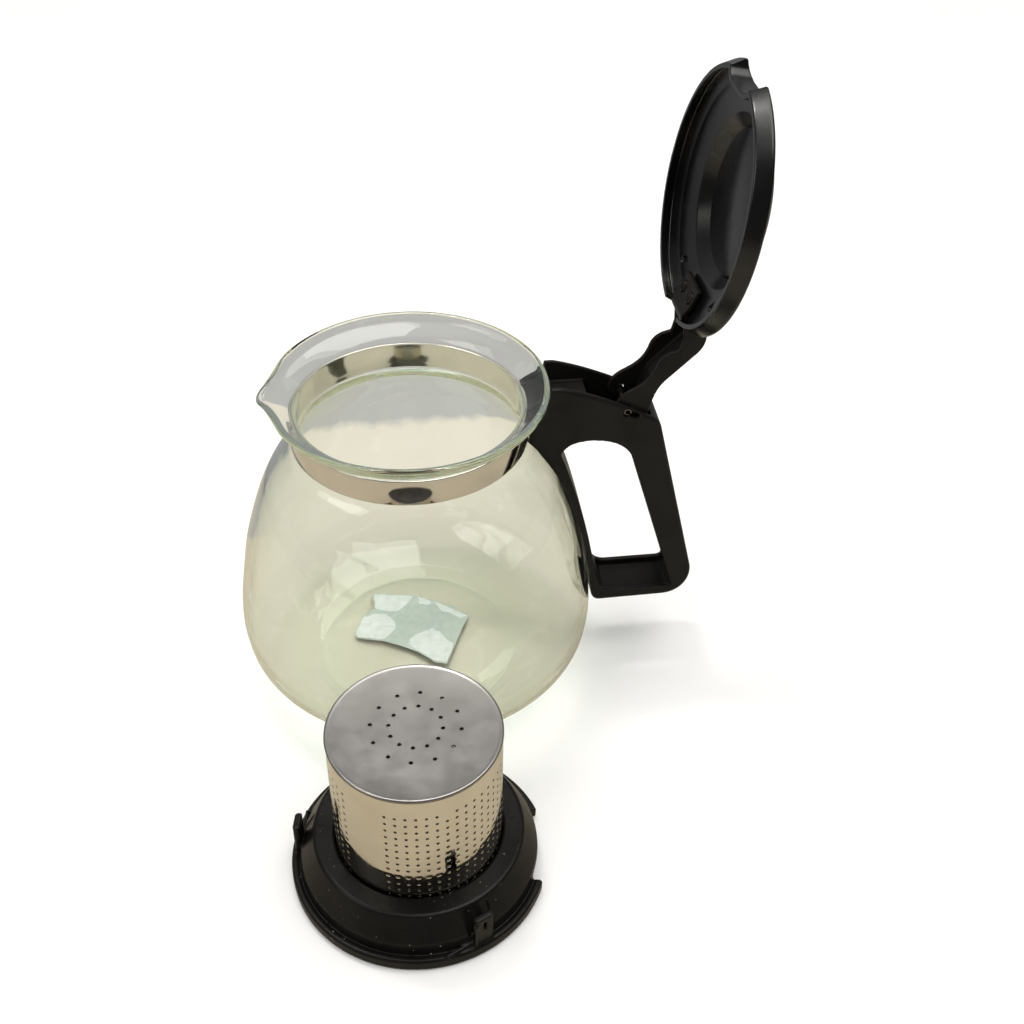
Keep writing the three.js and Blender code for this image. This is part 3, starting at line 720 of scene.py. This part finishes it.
def lid_shell():
    """The lid: a domed cap with a hollow boss, a notch for the spout and a slot for the arm."""
    cap = lid_disc("lid_shell", [(0, 0), *lid_outside()])
    hollow = lid_disc("hollow", [(0, -1), (lid_skirt(0) - LID_T, -1), *lid_inside()])
    combine(hollow, [prism("notch_wall", notch_outline(LID_T), LID_Z - 10, LID_Z + 30)])
    combine(cap, [prism("notch", notch_outline(0), LID_Z - 10, LID_Z + 30), hollow,
                  block(40.2, 60, -ARM_W / 2 - 0.5, ARM_W / 2 + 0.5, LID_Z - 2, LID_Z + 20),
                  half_moon(33.6, 18.0, 7.4, 60), half_moon(30.6, -17.6, 8.2, -150)])
    return moved(moulded(screw_holes(cap), 0.36, 2), LID_SWING)


piece(lid_shell(), LID_BLACK, "lid", "lid_black", "lid_cap")


def lid_plate():
    """The glossy plate that closes the hollow of the boss from below."""
    face = LID_BOSS - LID_T - 0.9
    profile = [(0, face), (BOSS_R - 0.5, face), (BOSS_R - 0.15, face + 0.15), (BOSS_R - 0.3, face + 0.5),
               (0, face + 0.6)]
    return moved(lid_disc("lid_recess_plate", profile, 200), LID_SWING)


piece(lid_plate(), LID_BLACK, "lid", "lid_black", "lid_plate")

ARM = ("M81.6,132.6 C74,132.6 70,133.6 66.6,136 L54.4,144.4 Q50.6,146.9 46.4,145.9 Q41.4,144.8 40.8,141 "
       "L40.8,135.6 L36,137.5 L29.4,139.1 L29.4,137.4 L36,135.8 L39.5,134 Q42,133.8 44.5,136.4 L49.6,137.7 "
       "L54.2,137.5 Q56,131.8 61,130.9 C66.5,130.4 69.4,128.4 72.6,124.4 C75.6,120.4 78,119.2 81.4,119.2 "
       "C86.6,119.8 88.2,131.6 81.6,132.6")
ARM_HOLLOW = [(84, 110), (86, 128), (81, 130.6), (74, 130.8), (69.5, 131.8), (65.6, 134.2), (53.6, 142.4),
              (50, 144.2), (46.5, 143.6), (43.6, 141.6), (43, 137), (44, 130), (60, 110)]


def lid_arm():
    """The channel-shaped arm, open below, with a bore for the hinge pin."""
    arm = slab("lid_arm_channel", outline(ARM, 12)[:-1], ARM_W)
    combine(arm, [slab("arm_hollow", ARM_HOLLOW, ARM_W - 2 * ARM_T), rod_y(*HINGE, PIN_R + GAP)])
    return moved(moulded(screw_holes(arm), 0.34, 3), LID_SWING)


piece(lid_arm(), BLACK, "lid", "handle_black", "lid_arm")


def arm_screw(name, y):
    """A pan-head screw with a cross recess, its head facing down."""
    length = ARM_SCREW_TOP - ARM_SCREW_Z
    head = [(0, -1.0), (1.1, -0.98), (1.7, -0.75), (2.05, -0.3), (2.1, 0.15), (1.0, 0.2),
            (1.0, length - 0.2), (0.7, length), (0, length)]
    screw = lathe(name, [(r, ARM_SCREW_Z + h) for r, h in head], 32, centre=(ARM_SCREW_X, y))
    for turn in (0, 90):
        slot = block(-1.1, 1.1, -0.22, 0.22, ARM_SCREW_Z - 2, ARM_SCREW_Z - 0.45)
        turned(slot, 25 + turn)
        combine(screw, [moved(slot, Matrix.Translation((ARM_SCREW_X * MM, y * MM, 0)))])
    screw.data.set_sharp_from_angle(angle=math.radians(40))
    return moved(screw, LID_SWING)


piece(arm_screw("arm_screw_a", -ARM_SCREW_Y), BLACK, "lid", "handle_black", "arm_screw_near")
piece(arm_screw("arm_screw_b", ARM_SCREW_Y), BLACK, "lid", "handle_black", "arm_screw_far")


# ---------- infuser, upside down ----------
def at_infuser(obj):
    """Moves a mesh built around the Z axis to where the infuser stands."""
    return moved(obj, Matrix.Translation((INFUSER[0] * MM, INFUSER[1] * MM, 0)))


def collar_notch():
    """The cutter for the pour notch in the collar's flange."""
    half = math.radians(NOTCH_SPAN)
    inner = LEDGE_R + 4.2
    edge = inner + 1
    text = (f"M{60 * math.cos(half)},{-60 * math.sin(half)} L{60 * math.cos(half)},{60 * math.sin(half)} "
            f"L{edge * math.cos(half)},{edge * math.sin(half)} "
            f"Q{inner - 1.5},0 {edge * math.cos(half)},{-edge * math.sin(half)}")
    return turned(prism("notch", outline(text, 20), -2, COLLAR_LIP + 2), NOTCH_MID)


def collar():
    """The collar: flange, skirt and ledge, with two snap tabs in windows."""
    wall = [(COLLAR_R - 0.5, 0), (COLLAR_R, 0.6), (COLLAR_R, COLLAR_LIP - 0.7),
            (COLLAR_R - 0.6, COLLAR_LIP), (44.6, COLLAR_LIP - 0.1), (43.9, COLLAR_LIP - 0.9),
            (43.4, COLLAR_LIP - 0.5), (43.0, 9.3),
            (LEDGE_R, COLLAR_H - 0.3), (LEDGE_R - 0.8, COLLAR_H), (BASKET_R + GAP + 0.6, COLLAR_H),
            (BASKET_R + GAP, COLLAR_H - 0.6), (BASKET_R + GAP, COLLAR_H - 2), (LEDGE_R - 1.4, COLLAR_H - 2),
            (40.4, 9.3), (41.2, 2.4), (43.8, 1.8), (44.2, 0)]
    body = lathe("infuser_collar_ring", wall, 220, closed=True)
    combine(body, [collar_notch()])
    tabs, windows = [], []
    for degrees in TAB_ANGLES:
        recess = block(37.2, 46, -4.9, 4.9, 8.4, 17.2)
        combine(recess, [lathe("core", [(0, -5), (42.2, -5), (42.2, 9.3), (37.2, 19), (0, 19)], 120)])
        windows.append(turned(recess, degrees))
        half = TAB_W / 2
        post = prism("post", [(43.0, -half), (44.9, -half), (45.5, 0.7 - half), (45.5, half - 0.7),
                              (44.9, half), (43.0, half)], COLLAR_LIP - 1.2, TAB_TOP)
        combine(post, [block(40, 50, -0.55, 0.55, TAB_TOP - 6.2, TAB_TOP - 2.4)])
        rib = block(44.4, 45.9, -half - 0.9, 0.5 - half, COLLAR_LIP - 1.2, TAB_TOP - 2.2)
        foot = block(43.2, 44.4, -half - 11, -half, COLLAR_LIP - 1.6, COLLAR_LIP + 0.9)
        tabs += [turned(obj, degrees) for obj in (post, rib, foot)]
    combine(body, windows)
    combine(body, tabs, "UNION")
    return at_infuser(moulded(body, 0.38, 2))


piece(collar(), COLLAR_BLACK, "infuser", "collar_black", "infuser_collar")


def retainer():
    """The ring inside the collar that holds the basket."""
    profile = [(BASKET_R - 0.4, 13.7), (BASKET_R - 0.1, 13.4), (37.6, 13.4), (37.9, 13.7), (36.9, 15.4),
               (36.6, 15.7), (BASKET_R - 0.1, 15.7), (BASKET_R - 0.4, 15.4)]
    return at_infuser(lathe("basket_retainer", profile, 120, closed=True))


piece(retainer(), COLLAR_BLACK, "infuser", "collar_black", "infuser_retainer")

COLUMNS, BLANK_COLUMNS, FIRST_COLUMN = 54, 4, -113.7
ROWS, ROW_PITCH, TOP_ROW = 13, 3.5, 61.0
HOLE_R, MISSING_HOLE = 0.56, (6, 0)


def sieve_wall():
    """The basket's wall: steel sheet pierced in upright columns, with a plain stretch."""
    pitch = 360 / COLUMNS
    arc = 2 * math.pi * BASKET_R / COLUMNS
    low = COLLAR_H - 2 - GAP
    cells, welded = [], {}
    points = []

    def corner(angle, z, depth=0.0):
        """The number of a point on the wall. Each place gets one point."""
        key = (round(angle % 360, 3), round(z, 3), depth)
        if key not in welded:
            welded[key] = len(points)
            a = math.radians(angle)
            r = BASKET_R - 0.02 + depth
            points.append((r * math.cos(a), r * math.sin(a), z))
        return welded[key]

    def cell(column, z0, z1, pierced):
        """One cell of the wall, plain or with a hole whose edge dips inwards."""
        left = FIRST_COLUMN + (column - 0.5) * pitch
        around = ((0, 0), (1, 0), (2, 0), (3, 0), (3, 1), (3, 2), (3, 3), (2, 3), (1, 3), (0, 3),
                  (0, 2), (0, 1))
        ticks = [(left + pitch * i / 3, z0 + (z1 - z0) * j / 3) for i, j in around]
        if not pierced:
            grid = [[corner(left + pitch * i / 3, z0 + (z1 - z0) * j / 3) for i in range(4)]
                    for j in range(4)]
            for j in range(3):
                for i in range(3):
                    cells.append((grid[j][i], grid[j][i + 1], grid[j + 1][i + 1], grid[j + 1][i]))
            return
        middle, height = left + pitch / 2, (z0 + z1) / 2
        rings = [[corner(a, z) for a, z in ticks]]
        for radius, depth in ((HOLE_R * 1.6, 0.0), (HOLE_R * 1.2, -0.015), (HOLE_R, -0.07)):
            ring = []
            for k in range(12):
                t = math.radians(-135 + 30 * k)
                angle = middle + radius * math.cos(t) / arc * pitch
                ring.append(corner(angle, height + radius * math.sin(t), depth))
            rings.append(ring)
        for outer, inner in zip(rings, rings[1:]):
            for k in range(12):
                n = (k + 1) % 12
                cells.append((outer[k], outer[n], inner[n], inner[k]))

    bottom_row = TOP_ROW - (ROWS - 0.5) * ROW_PITCH
    shoulder, end = BASKET_TOP - 5, BASKET_TOP - 1.4
    for column in range(COLUMNS):
        blank = column >= COLUMNS - BLANK_COLUMNS
        cell(column, low, bottom_row, False)
        for row in range(ROWS):
            z = TOP_ROW - row * ROW_PITCH
            pierced = not blank and (column, row) != MISSING_HOLE
            cell(column, z - ROW_PITCH / 2, z + ROW_PITCH / 2, pierced)
        cell(column, TOP_ROW + ROW_PITCH / 2, shoulder, False)
        cell(column, shoulder, end, False)
    wall = mesh_object("basket_sieve", points, cells)
    thick = wall.modifiers.new("sheet", "SOLIDIFY")
    thick.thickness, thick.offset = SHEET * 0.8 * MM, -1
    bake(wall)
    wall.data.set_sharp_from_angle(angle=math.radians(55))
    return at_infuser(wall)


def sieve_lip():
    """The wall's turned-out lip, held in the collar."""
    low = COLLAR_H - 2 - GAP
    profile = [(BASKET_R - SHEET, low - SHEET), (34.3, low - SHEET), (34.5, low - SHEET / 2), (34.3, low),
               (BASKET_R + 0.4, low), (BASKET_R, low + 0.4), (BASKET_R - SHEET, low + 0.4)]
    return at_infuser(lathe("basket_lip", profile, 160, closed=True))


piece(sieve_wall(), BASKET_STEEL, "infuser", "basket_steel", "basket_wall")
lip = sieve_lip()
lip.data.materials.append(BASKET_STEEL)
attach(lip, "infuser")


DISC_CIRCLES, DISC_TURN, DISC_OFFSET, DISC_HOLE_R = (9.25, 15.5), 20.0, (0.66, 1.15), 0.74


def end_disc():
    """The closed end: a pierced disc with its rim rolled over the wall."""
    top, rim_round = BASKET_TOP, 0.7
    edge = BASKET_R + 0.24
    rim = [(edge - rim_round + rim_round * math.cos(t), top - rim_round + rim_round * math.sin(t))
           for t in np.linspace(-0.35, 1.57, 14)]
    face = [(29.3, top - 0.03), (29.0, top - 0.16), *[(r, top - 0.2) for r in (28.7, 20, 17, 12, 6, 0)]]
    under = [*[(r, top - 1.1) for r in (0, 6, 12, 17, 20, 28.6)], (28.8, top - 3), (29.2, top - 3),
             (29.2, top - 1.25), (30.0, top - 1.15)]
    disc = lathe("basket_end_disc", [*under, *rim, *face], 180)
    holes = []
    for radius in DISC_CIRCLES:
        for k in range(12):
            a = math.radians(DISC_TURN + 30 * k)
            spot = (DISC_OFFSET[0] + radius * math.cos(a), DISC_OFFSET[1] + radius * math.sin(a))
            holes.append(prism("hole", round_points(DISC_HOLE_R, 16, spot), top - 3, top + 1))
    combine(disc, holes)
    disc.data.set_sharp_from_angle(angle=math.radians(40))
    return at_infuser(disc)


piece(end_disc(), DISC_STEEL, "infuser", "brushed_steel", "basket_bottom")


# ---------- camera, light and surroundings, in metres ----------
CAMERA_PLACE, CAMERA_LENS = (-0.01715, -0.40308, 0.40975), 46.226
CAMERA_HEADING, CAMERA_DIP, CAMERA_ROLL = math.radians(8), math.radians(39.75), -0.01707


def camera():
    """The photo's view, from the camera fitted to it."""
    heading, dip, roll = CAMERA_HEADING, CAMERA_DIP, CAMERA_ROLL
    ahead = Vector((math.sin(heading) * math.cos(dip), math.cos(heading) * math.cos(dip),
                    -math.sin(dip)))
    right = Vector((math.cos(heading), -math.sin(heading), 0))
    down = -right.cross(ahead)
    across = right * math.cos(roll) + down * math.sin(roll)
    below = down * math.cos(roll) - right * math.sin(roll)
    turn = Matrix((across, -below, -ahead)).transposed()
    data = bpy.data.cameras.new("camera")
    data.lens, data.sensor_width = CAMERA_LENS, 36
    obj = bpy.data.objects.new("camera", data)
    obj.matrix_world = Matrix.Translation(CAMERA_PLACE) @ turn.to_4x4()
    bpy.context.scene.collection.objects.link(obj)
    bpy.context.scene.camera = obj


LIGHT_COLOUR, LIGHT_TARGET = (1, 0.98, 0.95), (0, -0.02, 0.07)
FLOOR_HALF, FLOOR_Z = 3.0, -0.0002


def soft_light(name, place, size, power):
    """A rectangular lamp aimed at the pot, in metres and watts."""
    data = bpy.data.lights.new(name, "AREA")
    data.shape, data.size, data.size_y = "RECTANGLE", size[0], size[1]
    data.energy, data.color = power, LIGHT_COLOUR
    obj = bpy.data.objects.new(name, data)
    obj.location = place
    obj.rotation_mode = "QUATERNION"
    obj.rotation_quaternion = (Vector(place) - Vector(LIGHT_TARGET)).to_track_quat("Z", "Y")
    bpy.context.scene.collection.objects.link(obj)


def floor():
    """A plain pale floor. Metals and glass see it as a cream table with a grey cloth beyond."""
    mesh = bpy.data.meshes.new("floor")
    corners = [(x * FLOOR_HALF, y * FLOOR_HALF, FLOOR_Z)
               for x, y in ((-1, -1), (1, -1), (1, 1), (-1, 1))]
    mesh.from_pydata(corners, [], [(0, 1, 2, 3)])
    obj = bpy.data.objects.new("floor", mesh)
    bpy.context.scene.collection.objects.link(obj)
    look = Look("pale_floor", Specular_IOR_Level=0.15)
    plain = look.mix(look.noise(60, 3), (0.88, 0.875, 0.865), (0.91, 0.905, 0.895))
    ray = look.node("ShaderNodeLightPath")
    away = look.node("ShaderNodeSeparateXYZ", {0: look.place}).outputs[1]
    fringe = look.noise(9, 2, 0.6, look.stretched((1, 0.2, 1)))
    ragged = look.math("ADD", away, look.math("MULTIPLY", fringe, 0.012))
    cloth = look.spread(ragged, 0.171, 0.179, 0, 1)
    through = look.mix(cloth, (0.655, 0.612, 0.525), (0.39, 0.385, 0.38))
    mirrored = look.mix(cloth, (0.46, 0.41, 0.315), (0.27, 0.27, 0.28))
    seen = look.mix(ray.outputs["Is Glossy Ray"], plain, mirrored)
    look.put("Base Color", look.mix(ray.outputs["Is Transmission Ray"], seen, through))
    look.put("Roughness", look.spread(look.noise(30, 3), 0.3, 0.7, 0.6, 0.8))
    mesh.materials.append(look.material)


def room():
    """A pale room. Its reflections are dimmer, and darkest from the camera's side."""
    world = bpy.data.worlds.new("room")
    bpy.context.scene.world = world
    world.use_nodes = True
    tree = world.node_tree

    def node(kind, **settings):
        made = tree.nodes.new(kind)
        for key, value in settings.items():
            setattr(made, key, value)
        return made

    def ramp(value, *stops):
        made = node("ShaderNodeValToRGB")
        for element, (position, grey) in zip(made.color_ramp.elements, stops):
            element.position, element.color = position, (*grey, 1)
        tree.links.new(value, made.inputs[0])
        return made.outputs[0]

    def mix(factor, a, b):
        mixer = node("ShaderNodeMix", data_type="RGBA")
        for key, value in ((0, factor), (6, a), (7, b)):
            if isinstance(value, tuple):
                mixer.inputs[key].default_value = (*value, 1)
            else:
                tree.links.new(value, mixer.inputs[key])
        return mixer.outputs[2]

    split = node("ShaderNodeSeparateXYZ")
    tree.links.new(node("ShaderNodeTexCoord").outputs["Generated"], split.inputs[0])
    ray = node("ShaderNodeLightPath")
    even = ramp(split.outputs[2], (0.0, (0.56, 0.55, 0.54)), (0.75, (0.66, 0.66, 0.66)))
    walls = ramp(split.outputs[1], (0.0, (0.05, 0.047, 0.045)), (0.45, (0.30, 0.297, 0.295)))
    ceiling = ramp(split.outputs[2], (0.84, (0.0, 0.0, 0.0)), (0.95, (1.0, 1.0, 1.0)))
    light = mix(ray.outputs["Is Glossy Ray"], even, mix(ceiling, walls, (0.85, 0.85, 0.84)))
    light = mix(ray.outputs["Is Transmission Ray"], light, (0.88, 0.88, 0.86))
    light = mix(ray.outputs["Is Camera Ray"], light, (0.93, 0.93, 0.92))
    tree.links.new(light, tree.nodes["Background"].inputs[0])


def studio():
    """The floor, the room, two large lamps and three small ones that make highlights."""
    floor()
    room()
    soft_light("key", (0.5, 0.05, 1.8), (1.5, 1.3), 19)
    soft_light("fill", (-1.1, -0.5, 1.3), (0.9, 0.9), 6)
    for i, x in enumerate((-0.34, -0.25, -0.16)):
        soft_light(f"tube_{i}", (x, 0.42, 1.5), (0.03, 0.16), 1.5)


camera()
studio()
bpy.context.scene.view_settings.view_transform = "Standard"
